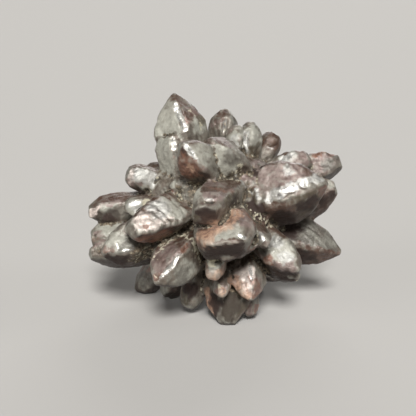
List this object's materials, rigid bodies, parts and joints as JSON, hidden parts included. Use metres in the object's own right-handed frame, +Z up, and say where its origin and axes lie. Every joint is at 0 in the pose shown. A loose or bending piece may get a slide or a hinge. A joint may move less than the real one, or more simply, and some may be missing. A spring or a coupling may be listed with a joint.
{
  "type": "prophecy stone",
  "caption": "Burr-shaped mineral cluster of blunt, worn iron-oxide crystals grown together round a lumpy core, standing free on its lowest crystal tips.",
  "frame": {"origin": "middle of the bounding box, in the plane that the stone rests on", "axes": "+Z up as the stone rests, +X along its longest extent, and -Y towards the side with the chisel-edged and the box-shaped crystal"},
  "size_m": [0.0612, 0.054, 0.0508],
  "materials": {
    "iron_oxide": "worn smooth, dull metallic sheen"
  },
  "bodies": {
    "root": {"prophecy_stone": "iron_oxide"}
  },
  "joints": []
}
